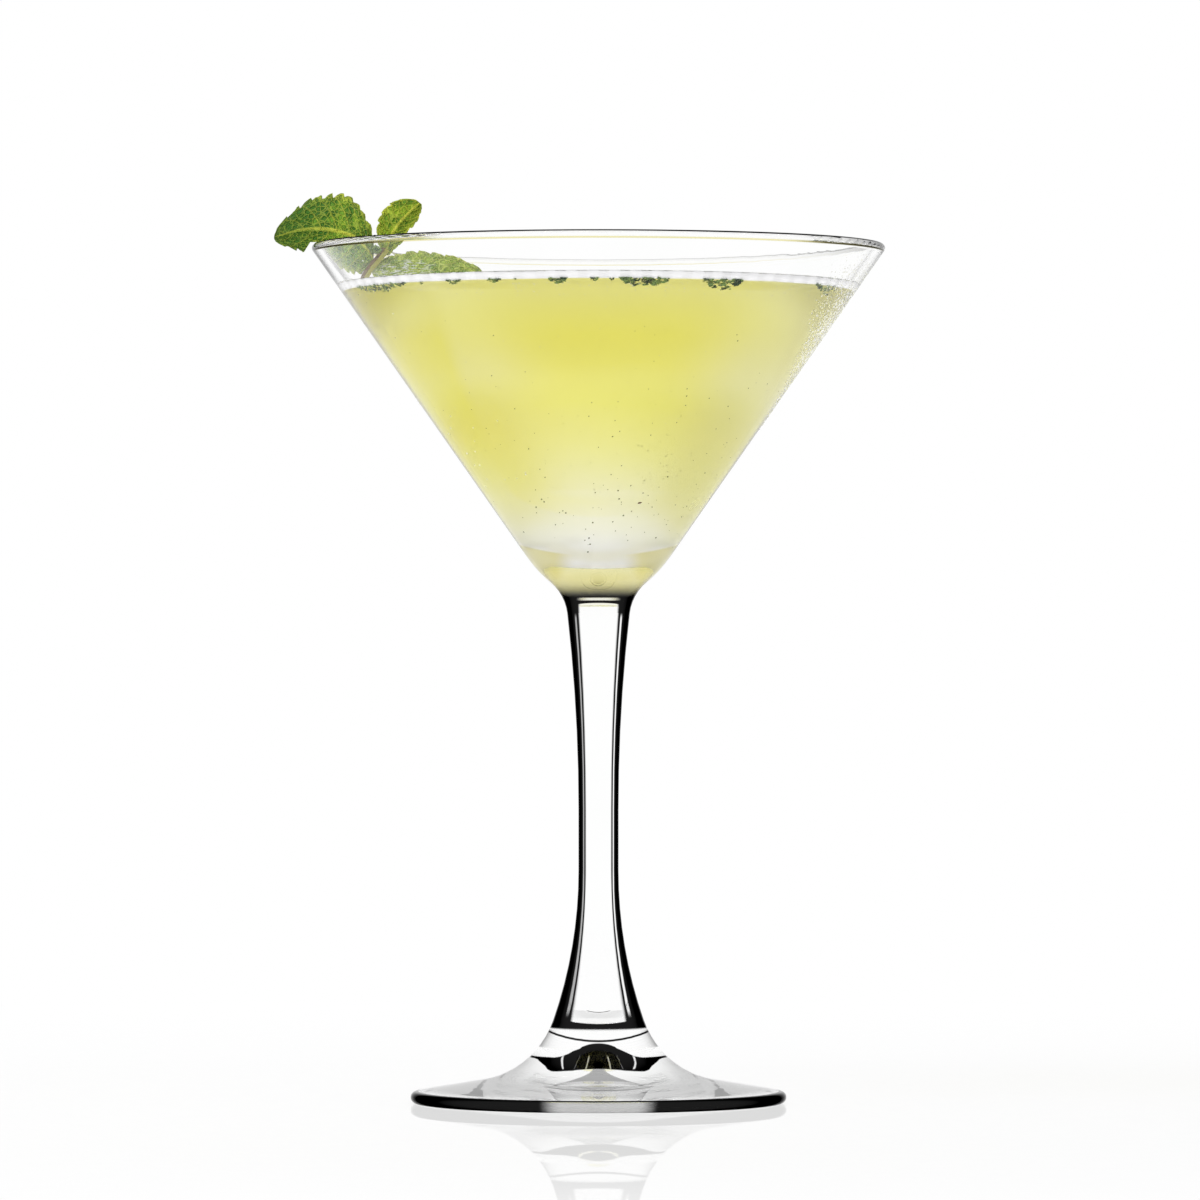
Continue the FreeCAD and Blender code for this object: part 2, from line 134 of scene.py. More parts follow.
# %% A socket that can be used in sums
class Signal:
    """The output of a node. Sums on it add Math nodes, or Vector Math for directions."""

    def __init__(self, finish, socket):
        self.finish = finish
        self.socket = socket

    def sum(self, operation, first, second):
        kinds = [s.socket.type for s in (first, second) if isinstance(s, Signal)]
        kind = "ShaderNodeVectorMath" if "VECTOR" in kinds else "ShaderNodeMath"
        return self.finish.node(kind, {"operation": operation}, {0: first, 1: second})

    def __add__(self, other):
        return self.sum("ADD", self, other)

    def __radd__(self, other):
        return self.sum("ADD", other, self)

    def __sub__(self, other):
        return self.sum("SUBTRACT", self, other)

    def __rsub__(self, other):
        return self.sum("SUBTRACT", other, self)

    def __mul__(self, other):
        return self.sum("MULTIPLY", self, other)

    def __rmul__(self, other):
        return self.sum("MULTIPLY", other, self)

    def __truediv__(self, other):
        return self.sum("DIVIDE", self, other)

    def __rtruediv__(self, other):
        return self.sum("DIVIDE", other, self)

    def __pow__(self, other):
        return self.sum("POWER", self, other)

    def __abs__(self):
        return self.sum("ABSOLUTE", self, 0.0)

    def larger(self, other):
        return self.sum("MAXIMUM", self, other)

    def smaller(self, other):
        return self.sum("MINIMUM", self, other)

    def fraction(self):
        return self.sum("FRACT", self, 0.0)

    def between(self, low, high):
        """0 below low and 1 above high, with a smooth step between."""
        how = {"interpolation_type": "SMOOTHSTEP"}
        return self.finish.node("ShaderNodeMapRange", how, {0: self, 1: low, 2: high})

    def within(self, rise, fall):
        """1 from the end of the rise to the start of the fall, each a smooth step."""
        return self.between(*rise) * (1 - self.between(*fall))

    def line(self, core, reach):
        """1 where the signal is nearer to 0 than core, and 0 past reach."""
        return 1 - abs(self).between(core, reach)


# %% A material made of signals
class Finish:
    """A material, or the world, whose nodes are added one call at a time."""

    def __init__(self, name, tree=None):
        self.material = None
        if tree is None:
            self.material = bpy.data.materials.new(name)
            self.material.use_nodes = True
            tree = self.material.node_tree
        self.tree = tree
        self.tree.nodes.clear()

    def node(self, kind, settings=None, sockets=None, output=0):
        """Any node: its type, its settings, then the values or links of its sockets."""
        node = self.tree.nodes.new(kind)
        for name, value in (settings or {}).items():
            if name == "stops":
                elements = node.color_ramp.elements
                while len(elements) < len(value):
                    elements.new(1.0)
                for element, (position, colour) in zip(elements, value):
                    element.position = position
                    element.color = (*colour, 1.0)
            else:
                setattr(node, name, value)
        for name, value in (sockets or {}).items():
            socket = node.inputs[name]
            if isinstance(value, Signal):
                self.tree.links.new(value.socket, socket)
            elif socket.type == "RGBA":
                socket.default_value = (*value, 1.0)
            else:
                socket.default_value = value
        return Signal(self, node.outputs[output]) if len(node.outputs) else None

    def place(self, axis=None):
        """Where a point is on the object, or one of its coordinates."""
        where = self.node("ShaderNodeTexCoord", output="Object")
        if axis is None:
            return where
        return self.node("ShaderNodeSeparateXYZ", None, {0: where}, axis)

    def length(self, vector):
        return self.node("ShaderNodeVectorMath", {"operation": "LENGTH"}, {0: vector}, "Value")

    def facing(self):
        """0 where a surface is seen straight on, 1 where it is seen edge on."""
        return self.node("ShaderNodeLayerWeight", None, {"Blend": 0.5}, "Facing")

    def noise(self, scale, detail, where=None):
        sockets = {"Vector": where or self.place(), "Scale": scale, "Detail": detail}
        return self.node("ShaderNodeTexNoise", None, sockets)

    def blend(self, share, first, second):
        """A colour between two others. A Mix node keeps its colours in sockets 6, 7 and 2."""
        colours = {"data_type": "RGBA"}
        return self.node("ShaderNodeMix", colours, {0: share, 6: first, 7: second}, 2)

    def ramp(self, value, *stops):
        return self.node("ShaderNodeValToRGB", {"stops": stops}, {0: value})

    def bumped(self, height, distance, strength):
        """The normal of a surface with a height in metres times distance."""
        sockets = {"Strength": strength, "Distance": distance, "Height": height}
        return self.node("ShaderNodeBump", None, sockets)

    def surface(self, **sockets):
        """The Principled shader. An underscore stands for a space."""
        named = {name.replace("_", " "): value for name, value in sockets.items()}
        return self.node("ShaderNodeBsdfPrincipled", None, named)

    def rays(self, *kinds):
        """1 for rays of any of these kinds."""
        found = [self.node("ShaderNodeLightPath", output=f"Is {kind} Ray") for kind in kinds]
        total = found[0]
        for one in found[1:]:
            total = total.larger(one)
        return total

    def lamps_pass(self, shader, colour):
        """Lets lamps and stray light through a clear piece, and takes off a little."""
        through = self.node("ShaderNodeBsdfTransparent", None, {"Color": colour})
        passing = self.rays("Shadow", "Diffuse")
        return self.node("ShaderNodeMixShader", None, {0: passing, 1: shader, 2: through})

    def done(self, shader, volume=None):
        sockets = {"Surface": shader}
        if volume is not None:
            sockets["Volume"] = volume
        self.node("ShaderNodeOutputMaterial", None, sockets)
        return self.material


# %% [markdown]
# ## Studio
# Clear glass shows nothing but what stands round it. A white world and a white, slightly
# mirroring floor make it bright. The floor takes the shadow of the foot near the middle
# and turns into plain white further out, where no shadow falls. Glass sees it whiter than
# the eye does, or the floor's own shadow would make the foot dull.

# %% Floor
def mesh_piece(name, points, faces, material, smooth=True):
    """An object from points and faces."""
    mesh = bpy.data.meshes.new(name)
    mesh.from_pydata([tuple(p) for p in points], [], faces)
    mesh.update()
    mesh.materials.append(material)
    mesh.polygons.foreach_set("use_smooth", [smooth] * len(mesh.polygons))
    piece = bpy.data.objects.new(name, mesh)
    scene.collection.objects.link(piece)
    return piece


NEAR, FAR = 0.12, 0.45
SHARE_NEAR = 0.12
SHARE_IN_GLASS = 0.75
MIRROR = 0.30


def floor_finish():
    f = Finish("studio_floor")
    grain = f.noise(180.0, 4.0)
    matte = f.node(
        "ShaderNodeBsdfDiffuse", None,
        {"Color": f.blend(grain, (0.97, 0.97, 0.975), (1.0, 1.0, 1.0))},
    )
    mirror = f.node("ShaderNodeBsdfGlossy", None, {"Color": (1, 1, 1), "Roughness": 0.012})
    sheet = f.node("ShaderNodeMixShader", None, {0: MIRROR, 1: matte, 2: mirror})
    white = f.node("ShaderNodeEmission", None, {"Color": (1, 1, 1), "Strength": 1.0})
    open_floor = f.length(f.place()).between(NEAR, FAR)
    plain = (SHARE_NEAR + (1 - SHARE_NEAR) * open_floor) * f.rays("Camera", "Glossy")
    in_glass = (SHARE_IN_GLASS + (1 - SHARE_IN_GLASS) * open_floor) * f.rays("Transmission")
    lit = f.node("ShaderNodeMixShader", None, {0: plain.larger(in_glass), 1: sheet, 2: white})
    return f.done(lit)


FLOOR = 4.0
GAP = 0.1 * MM
corners = [(-FLOOR, -FLOOR), (FLOOR, -FLOOR), (FLOOR, FLOOR), (-FLOOR, FLOOR)]
floor = mesh_piece("floor", [(x, y, -GAP) for x, y in corners], [(0, 1, 2, 3)], floor_finish())
floor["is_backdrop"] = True
print("floor", 2 * FLOOR, "m wide")

# %% World
world = bpy.data.worlds.new("studio")
world.use_nodes = True
scene.world = world
w = Finish("studio", world.node_tree)
ROOM_LIGHT = 0.55
seen = w.rays("Camera", "Glossy", "Transmission")
strength = seen + (1 - seen) * ROOM_LIGHT
sky = w.node("ShaderNodeBackground", None, {"Color": (1, 1, 1), "Strength": strength})
w.node("ShaderNodeOutputWorld", None, {"Surface": sky})
print("room light", ROOM_LIGHT)


# %% Lamps
BOWL_MIDDLE = Vector((0, 0, 0.12))


def lamp(name, where, size, power):
    """A large soft lamp that looks at the bowl and isn't seen itself."""
    data = bpy.data.lights.new(name, "AREA")
    data.shape = "RECTANGLE"
    data.size, data.size_y = size
    data.energy = power
    light = bpy.data.objects.new(name, data)
    scene.collection.objects.link(light)
    light.location = where
    towards = BOWL_MIDDLE - Vector(where)
    light.rotation_euler = towards.to_track_quat("-Z", "Y").to_euler()
    light.visible_camera = False
    light.visible_transmission = False
    light.visible_glossy = False


lamp("key_lamp", (-0.75, -0.55, 1.05), (0.7, 0.7), 6.0)
lamp("fill_lamp", (0.9, -0.5, 0.8), (0.9, 0.9), 2.5)
lamp("back_lamp", (0.1, 0.9, 0.9), (1.0, 0.6), 4.0)


# %% [markdown]
# ## Clear glass
# Pressed soda-lime glass bends light by about 1.5. It is never quite even: the surface
# waves a little where the mould was, and wiping leaves faint dull patches. Both come
# from noise.
#
# Thick glass in a white room has black and white bands, because there it bends the view
# away to the dark side of the room. Dark boards beside the glass could make them, but
# such boards suit one view only. Here the bands are painted into the finish: painted black
# refraction and painted white reflection. Each is a mask made of the height, the radius
# and the angle at which the surface is seen, and where a mask is 1 the surface is a black
# or a white mirror. All masks measure in millimetres, and a pair of numbers is a soft step
# from its first to its second.

# %% Where a point of the glass is
class GlassPlace:
    """Signals for a point of the glass: where it is and how it is turned."""

    def __init__(self, f):
        self.x = f.place("X")
        self.height = f.place("Z") / MM
        flat = {"operation": "MULTIPLY"}
        across = f.node("ShaderNodeVectorMath", flat, {0: f.place(), 1: (1, 1, 0)})
        self.radius = f.length(across) / MM
        self.edge = f.facing()
        normal = f.node("ShaderNodeNewGeometry", output="Normal")
        self.upward = f.node("ShaderNodeSeparateXYZ", None, {0: normal}, "Z")
        self.outer_face = 1 - f.node("ShaderNodeNewGeometry", output="Backfacing")
        # a level look at a turned surface: 1 on its middle line, 0 on its outline
        tilt = self.upward * (EYE_HEIGHT / MM - self.height) / (EYE_DISTANCE / MM)
        level = (1 - self.upward * self.upward).larger(0.04) ** 0.5
        self.front = (1 - self.edge - tilt) / level
        # and how far the point looks to be from the middle line
        self.sideways = self.radius * (1 - (self.front * self.front).smaller(1.0)) ** 0.5


# %% Bands of the stem
def stem_bands(g):
    """Painted black refraction on the sides with a thin clear line in them, and a painted glint
    under the bowl.
    """
    flare, neck = (14.6, 15.1), (99.9, 103.9)
    solid = g.height.within(flare, neck)
    closed_ends = 0.25 * (1 - g.height.between(15.7, 16.5)) + 0.3 * g.height.between(98.6, 99.1)
    right = 0.35 + 0.6 * g.x.between(-1 * MM, 1 * MM)
    thin_line = g.edge.within((0.29, 0.31), (0.34, 0.37)) * right
    thin_line = thin_line * g.height.within((17.0, 19.0), (95.6, 97.0))
    glint = g.height.within((99.3, 99.5), (99.8, 100.0)) * (1 - g.edge.between(0.1, 0.3)) * 0.9
    sides = (g.edge + closed_ends).between(0.19, 0.25)
    return solid * sides * (1 - thin_line) * (1 - glint), glint


# %% Bands of the flare
def flare_bands(g):
    """Painted refraction of the foot's hollow seen through the flare: a black arch with painted
    bright petals, a black ring and a painted white reflection on the collar.
    """
    top = 12.4 - 2.8 * g.sideways.between(0.5, 9.0)
    bottom = 7.4 - 0.6 * g.sideways.between(0.0, 9.5) + 2.2 * g.sideways.between(9.0, 12.8)
    arch = (top - g.height).between(0.0, 0.2) * (g.height - bottom).between(0.0, 0.2)
    arch = arch * g.front.between(0.05, 0.15)
    bulge = g.height - 8.6
    outer = (g.sideways - 7.3 + 0.20 * bulge * bulge).line(0.06, 0.28)
    middle = (g.sideways - 4.4 + 0.6 * bulge).line(0.02, 0.20)
    inner = (g.sideways - 2.2 + 0.25 * bulge).line(0.04, 0.20)
    petals = (0.85 * outer).larger(0.12 * middle).larger(0.35 * inner)
    petals = petals * g.height.within((7.3, 7.6), (9.4, 10.2))
    collar = g.height.within((11.0, 11.4), (14.4, 14.8))
    sagging = 12.7 + 0.016 * g.sideways * g.sideways
    ring = (g.height - sagging).line(0.12, 0.30) * collar
    return (arch * (1 - petals)).larger(ring), (0.85 * collar).larger(0.8 * petals * arch)


# %% Bands of the foot
def foot_bands(g):
    """Painted refraction: a black rim that is grey in front apart from a black line across it, and
    a painted white reflection on the top.
    """
    rim = g.radius.between(35.5, 35.9) * (1 - g.height.between(3.6, 3.9))
    # a painted black line across the grey front of the rim
    black_line = g.height.within((2.1, 2.2), (2.6, 2.7))
    rim = rim * (1 - 0.45 * g.front.between(0.945, 0.980) * (1 - black_line))
    # the pale top is a painted white reflection
    painted_white_top = g.height.within((2.0, 3.0), (8.0, 11.0))
    return rim, 0.55 * painted_white_top * g.outer_face


# %% Bands of the bowl
def bowl_bands(g):
    """Painted dark outlines of the wall and the lip, a painted white reflection on the inner lip
    on the right, and the lip's low line that gets the drink's painted tint.
    """
    left = 1 - g.x.between(-10 * MM, 10 * MM)
    wall = g.height.between(104.0, 112.0) * g.edge.between(0.80, 0.97) * 0.6
    wall = wall.larger(g.height.between(158.0, 165.0) * g.edge.between(0.80, 0.93) * 0.9 * left)
    mouth = g.height.between(168.75, 168.95)
    outer_rim = g.radius.between(55.88, 55.98)
    lip = mouth * g.upward.between(0.55, 0.68) * g.edge.between(0.24, 0.36)
    corner = g.height.between(167.3, 167.8) * (1 - g.front.between(0.05, 0.13))
    low_line = g.height.within((168.25, 168.4), (168.6, 168.75))
    low_sides = 0.9 * low_line * g.sideways.between(36.0, 47.0)
    lip = lip.larger(corner).larger(low_sides) * outer_rim
    white_mouth = 0.9 * mouth * g.x.between(-36 * MM, -28 * MM)
    return wall.larger(lip), white_mouth, low_line * outer_rim


def neck_glow(g):
    """Where the neck shows the drink above it: a painted yellow tint standing in for refracted
    light.
    """
    below_bowl = (108.3 + 0.0094 * g.sideways * g.sideways - g.height).between(0.0, 0.5)
    sides = g.sideways.between(4.0, 9.0)
    glow = below_bowl * sides.larger(0.7 * (1 - g.height.between(103.5, 107.0)))
    return glow * g.height.between(99.0, 101.5)


# %% Glass
BLACK = (0.012, 0.012, 0.012)


def glass_finish():
    f = Finish("pressed_glass")
    waves = f.noise(22.0, 1.0)
    wiped = f.noise(60.0, 3.0).between(0.3, 0.8)
    g = GlassPlace(f)
    stem_black, glint = stem_bands(g)
    flare_black, flare_white = flare_bands(g)
    foot_black, foot_white = foot_bands(g)
    bowl_black, bowl_white, yellow_line = bowl_bands(g)
    # painted black refraction and painted white reflection, from the masks above
    black = stem_black.larger(flare_black).larger(foot_black).larger(bowl_black) * g.outer_face
    white = glint.larger(flare_white).larger(foot_white).larger(bowl_white)
    clear = f.blend(wiped, (1.0, 1.0, 1.0), (0.985, 0.99, 0.985))
    # a painted yellow tint where the neck and the lip's line show the drink
    tinted = f.blend(neck_glow(g).larger(yellow_line), clear, (0.74, 0.66, 0.22))
    shader = f.surface(
        Base_Color=f.blend(black, tinted, BLACK),
        Metallic=black.larger(white),
        Roughness=0.002 + 0.003 * wiped,
        IOR=1.5,
        Specular_Tint=(0.3, 0.3, 0.3),
        Transmission_Weight=1.0,
        Normal=f.bumped(waves, 0.0004, 0.15),
    )
    return f.done(f.lamps_pass(shader, (0.95, 0.95, 0.95)))


glass = nodes["glass"]
glass.data.materials.clear()
glass.data.materials.append(glass_finish())
print("glass", len(glass.data.polygons), "faces")


# %% [markdown]
# ## The drink
# The drink fills the bowl to nine millimetres under the lip and climbs up the wall at its
# edge. It is turned from a profile and reaches just into the wall, so that no film
# of air shows between them. Light loses blue on its way through, which makes the wide top
# deep yellow and the narrow bottom pale. Near the outline a bent ray misses most of that
# depth. So this light is also painted into the colour, as a scale over the height in
# millimetres, with a painted reflection of the white floor that makes both sides paler.

# %% Turning a profile
def turned(name, profile, segments, material):
    """A body turned round the z axis from (radius, height) pairs, top centre to bottom."""
    points = []
    rings = []
    for radius, height in profile:
        if radius < 1e-7:
            rings.append([len(points)])
            points.append((0, 0, height))
            continue
        rings.append(list(range(len(points), len(points) + segments)))
        for i in range(segments):
            a = 2 * math.pi * i / segments
            points.append((radius * math.cos(a), radius * math.sin(a), height))
    faces = []
    for upper, lower in zip(rings, rings[1:]):
        for i in range(segments):
            j = (i + 1) % segments
            if len(upper) == 1:
                faces.append((upper[0], lower[i], lower[j]))
            elif len(lower) == 1:
                faces.append((upper[i], lower[0], upper[j]))
            else:
                faces.append((upper[i], lower[i], lower[j], upper[j]))
    return mesh_piece(name, points, faces, material)


# %% Shape of the drink
INTO_WALL = 0.2 * MM
CLIMB = 1.8 * MM
CLIMB_STARTS = 9.0 * MM
CLIMB_FADES = 1.6 * MM


def drink_profile():
    """Level in the middle, up the wall at the edge, and down along the wall."""
    profile = [(radius * MM, LEVEL) for radius in (0, 12, 24, 36)]
    edge = inside(LEVEL + CLIMB)
    for step in range(25):
        away = CLIMB_STARTS * (1 - step / 24) ** 1.6
        rise = CLIMB * math.exp(-away / CLIMB_FADES)
        profile.append((edge - away, LEVEL + rise))
    profile.append((edge + INTO_WALL * 0.6, LEVEL + CLIMB))
    into = INTO_WALL / math.cos(CONE)
    tangent = bottom_centre - bottom_radius * math.sin(CONE)
    for step in range(13):
        height = LEVEL + CLIMB - (LEVEL + CLIMB - tangent) * step / 12
        profile.append((inside(height) + into, height))
    reach = bottom_radius + INTO_WALL
    for step in range(1, 25):
        a = CONE + (math.pi / 2 - CONE) * step / 24
        profile.append((reach * math.cos(a), bottom_centre - reach * math.sin(a)))
    profile[-1] = (0.0, bottom_centre - reach)
    return profile


# %% Colour of the drink
DRINK_BOTTOM = 108.0
DRINK_DEPTH = 55.0
DEPTH_COLOURS = (
    (0.00, (1.0, 1.0, 1.0)),
    (0.15, (1.0, 1.0, 1.0)),
    (0.26, (1.0, 0.99, 0.92)),
    (0.40, (1.0, 0.99, 0.53)),
    (0.54, (1.0, 0.98, 0.245)),
    (0.68, (0.96, 0.90, 0.13)),
    (0.78, (0.89, 0.83, 0.135)),
    (0.92, (0.80, 0.75, 0.29)),
)
# colours of the painted reflection of the white floor: left, right and past its right edge
REFLECTION_LEFT, REFLECTION_RIGHT = (1.0, 0.97, 0.58), (0.90, 0.89, 0.65)
REFLECTION_FAR_RIGHT = (0.82, 0.80, 0.55)
# colours of a painted bright yellow high up towards both sides
CORNER_LEFT, CORNER_RIGHT = (1.0, 0.97, 0.36), (1.0, 0.98, 0.62)


def drink_colour(f, height, cloud):
    """Deep yellow at the top and clear below, painted for the light's path, and paler towards both
    sides by a painted reflection.
    """
    share = (height + 4.0 * (cloud - 0.5) - DRINK_BOTTOM) / DRINK_DEPTH
    body = f.ramp(share, *DEPTH_COLOURS)
    edge = f.facing()
    right = f.place("X").between(-2 * MM, 10 * MM)
    down = 163.0 - height
    # past the edge of the painted reflection it fades on the left and turns darker olive on the
    # right
    beyond_left = (edge - 0.139 - 0.00123 * down).between(-0.011, 0.015)
    beyond_right = (edge - 0.186 - 0.0022 * down).between(-0.011, 0.015)
    # painted reflection of the white floor that makes the drink paler towards both sides
    left_reflection = edge.between(0.066, 0.130) * (0.85 - 0.75 * beyond_left)
    right_reflection = edge.between(0.080, 0.180)
    painted_floor_reflection = left_reflection * (1 - right) + right_reflection * right
    painted_floor_reflection = painted_floor_reflection * height.between(109.0, 122.0)
    reflection_colour = f.blend(right, REFLECTION_LEFT, f.blend(beyond_right, REFLECTION_RIGHT, REFLECTION_FAR_RIGHT))
    pale = f.blend(0.75 * painted_floor_reflection, body, reflection_colour)
    # painted light: a bright yellow high up towards both sides
    corner = edge.between(0.11, 0.20) * height.between(151.0, 158.0)
    return f.blend(0.9 * corner, pale, f.blend(right, CORNER_LEFT, CORNER_RIGHT))


def drink_finish():
    f = Finish("hazy_drink")
    height = f.place("Z") / MM
    cloud = f.noise(38.0, 3.0)
    climbed = height.between(161.1, 161.4)
    hazy = f.surface(
        Base_Color=f.blend(climbed, drink_colour(f, height, cloud), (0.97, 0.97, 0.99)),
        Roughness=0.24 + 0.10 * cloud,
        IOR=1.34,
        Transmission_Weight=0.95,
    )
    loses_blue = {"Color": (0.985, 0.97, 0.30), "Density": 3.0}
    volume = f.node("ShaderNodeVolumeAbsorption", None, loses_blue)
    return f.done(f.lamps_pass(hazy, (0.99, 0.985, 0.93)), volume)


# %% Drink
drink = turned("pale_drink", drink_profile(), 192, drink_finish())
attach(drink, "root")
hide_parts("drink")
print("drink", len(drink.data.polygons), "faces")


# %% [markdown]
# ## Mint leaves
# A mint leaf is puffed up between its veins and toothed along its edge. Each leaf is a
# grid from base to tip and from margin to margin that hangs on a curved midrib. Every
# cell between two side veins is pushed out along the normal, so the quilting is real
# shape, and the same lines colour the blade.

# %% The sprig's guiding lines
RIM_POINT = Vector((-RIM, 0, LIP))
stem_points = [
    Vector((-inside(LEVEL) + 2.7 * MM, -3.0 * MM, LEVEL - 1.0 * MM)),
    Vector((-inside(LEVEL) + 3.1 * MM, -2.6 * MM, LEVEL + 2.8 * MM)),
    RIM_POINT + Vector((13.6, -1.6, -2.4)) * MM,
    RIM_POINT + Vector((14.6, -1.0, -0.9)) * MM,
]


def on_stem(share, towards):
    """A point of the mint stem's line, and a distance from it, in millimetres."""
    place = share * (len(stem_points) - 1)
    i = min(int(place), len(stem_points) - 2)
    t = place - i
    before = stem_points[max(i - 1, 0)]
    a, b = stem_points[i], stem_points[i + 1]
    after = stem_points[min(i + 2, len(stem_points) - 1)]
    bend = (b - before) / 2, (after - a) / 2
    curve = (
        a * (2 * t**3 - 3 * t**2 + 1)
        + bend[0] * (t**3 - 2 * t**2 + t)
        + b * (3 * t**2 - 2 * t**3)
        + bend[1] * (t**3 - t**2)
    )
    return curve + Vector(towards) * MM


def bezier(points, t):
    a, b, c, d = points
    s = 1 - t
    return a * s**3 + b * (3 * s * s * t) + c * (3 * s * t * t) + d * t**3


print("mint stem from", [round(c, 4) for c in stem_points[0]])

# %% Outline and veins of a leaf
LEAF_HALF = 0.16 * MM
VEIN_SWEEP = 0.20


def leaf_width(share, widest):
    """Half width along a leaf as a share of its largest."""
    swell = share ** (math.log(0.5) / math.log(widest))
    return 0.06 + 0.94 * math.sin(math.pi * swell) ** 0.6


def vein_line(share, side, veins):
    """1 on a side vein and 0 midway between two."""
    along = (share - VEIN_SWEEP * abs(side) ** 1.35) * veins + (0.5 if side > 0 else 0.0)
    return abs(along % 1.0 - 0.5) * 2


def tooth(share, teeth):
    """Depth of the cut between two teeth, deepest just before the next tooth."""
    along = share * teeth
    step = along - math.floor(along)
    return step**1.6


# %% A leaf's blade
LONG, WIDE = 132, 26
LEAF_SIDES = [math.sin(math.pi / 2 * j / WIDE) for j in range(-WIDE, WIDE + 1)]
LEAF_ROWS = [(i + 0.5) / (LONG + 1) if 0 < i < LONG else i / LONG for i in range(LONG + 1)]


def flat_blade(midrib, upper, lower, widest, bend, teeth, notch, lobe=Vector((0, 0, 0))):
    """
    Rows of points from base to tip. Upper and lower are the half widths at base and tip,
    bend is how far the margins leave the midrib's plane, and lobe sets the base back.
    """

    def point(share, side):
        at_base, at_tip = upper if side > 0 else lower
        half = at_base * (1 - share) + at_tip * share
        cut = notch * tooth(share, teeth) * abs(side) ** 5
        width = leaf_width(share, widest) * (1 - cut)
        cup = bend * (side**2 * math.sin(math.pi * share))
        back = lobe * (max(side, 0) ** 2 * width * (1 - share) ** 2)
        return bezier(midrib, share) + half * (abs(side) * width) + cup + back

    return [[point(share, side) for side in LEAF_SIDES] for share in LEAF_ROWS]


# %% Quilting
def normals(grid):
    """Which way each point of a blade faces."""
    found = []
    for i, row in enumerate(grid):
        line = []
        for j in range(len(row)):
            down = grid[min(i + 1, len(grid) - 1)][j] - grid[max(i - 1, 0)][j]
            across = row[min(j + 1, len(row) - 1)] - row[max(j - 1, 0)]
            line.append(down.cross(across).normalized())
        found.append(line)
    return found


def quilting(share, side, veins, puff, spot, seed):
    """How far a point of the blade is pushed out, in millimetres."""
    vein = vein_line(share, side, veins)
    cells = 0.5 + 0.5 * math.cos(abs(side) * 11 + share * 9)
    swell = (1 - vein**3) * (0.72 + 0.28 * cells)
    reach = min(1.0, abs(side) * 7) * (1 - 0.5 * abs(side) ** 8)
    ridge = math.exp(-((side / 0.05) ** 2))
    rough = 0.35 * noise.noise(spot * 0.45) + 0.14 * noise.noise(spot * 1.5)
    ruffle = abs(side) ** 4 * math.sin(share * 19 + side * 2 + seed)
    push = puff * swell * reach - 0.30 * ridge + rough + 0.22 * ruffle
    return push * min(1.0, 6 * share, 6 * (1 - share))


# %% A whole leaf
def closed_sheet(grid):
    """Points and faces of both sides of a blade and of its edge."""
    outward = normals(grid)
    points = []
    for sign in (1, -1):
        for row, outs in zip(grid, outward):
            points += [point + out * (sign * LEAF_HALF) for point, out in zip(row, outs)]
    high, across = len(grid), len(grid[0])
    count = high * across
    faces = []
    for i in range(high - 1):
        for j in range(across - 1):
            a = i * across + j
            faces.append((a, a + 1, a + across + 1, a + across))
            b = a + count
            faces.append((b, b + across, b + across + 1, b + 1))
    edge = list(range(across))
    edge += [i * across + across - 1 for i in range(1, high)]
    edge += [(high - 1) * across + j for j in range(across - 2, -1, -1)]
    edge += [i * across for i in range(high - 2, 0, -1)]
    for a, b in zip(edge, edge[1:] + edge[:1]):
        faces.append((a, a + count, b + count, b))
    return points, faces


def leaf(name, material, blade, veins, puff, settle=lambda point: point):
    """A quilted, closed leaf. Settle moves each point to where it comes to rest."""
    seed = sum(ord(letter) for letter in name)
    outward = normals(blade)
    for i, share in enumerate(LEAF_ROWS):
        for j, side in enumerate(LEAF_SIDES):
            spot = blade[i][j] / MM + Vector((seed, 0, 0))
            push = quilting(share, side, veins, puff, spot, seed)
            blade[i][j] = settle(blade[i][j] + outward[i][j] * (push * MM))
    piece = mesh_piece(name, *closed_sheet(blade), material)
    spots = [(share, 0.5 + 0.5 * side) for share in LEAF_ROWS for side in LEAF_SIDES] * 2
    layer = piece.data.uv_layers.new(name="blade")
    for loop in piece.data.loops:
        layer.data[loop.index].uv = spots[loop.vertex_index]
    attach(piece, "root")
    print(name, len(piece.data.polygons), "faces")
    return piece


# %% Leaf green
class BladePlace:
    """Signals for a point of a blade whose length and half width are in millimetres."""

    def __init__(self, f, length, half):
        self.f = f
        self.size = (length, half)
        blade = f.node("ShaderNodeUVMap", {"uv_map": "blade"})
        self.share = f.node("ShaderNodeSeparateXYZ", None, {0: blade}, "X")
        self.side = f.node("ShaderNodeSeparateXYZ", None, {0: blade}, "Y") * 2 - 1
        self.out = abs(self.side)
        self.flat = self.spread(1.0, 1.0)

    def spread(self, along, across):
        """The blade laid flat and stretched, for the noises."""
        length, half = self.size
        sockets = {0: self.share * (length * along), 1: self.side * (half * across)}
        return self.f.node("ShaderNodeCombineXYZ", None, sockets)


def vein_signals(f, b, veins):
    """The side veins, and how far a point is from the fine net between them."""
    swept = (b.share - VEIN_SWEEP * b.out**1.35) * veins
    along = swept + 0.5 * b.side.between(-0.001, 0.001) + 0.10 * f.noise(0.5, 1.0, b.flat)
    vein = abs((along + 20.0).fraction() - 0.5) * 2
    net = f.node(
        "ShaderNodeTexVoronoi", {"feature": "DISTANCE_TO_EDGE"},
        {"Vector": b.flat + f.noise(0.9, 2.0, b.flat) * 0.5, "Scale": 1.05}, "Distance",
    )
    return vein.between(0.84, 1.0), net


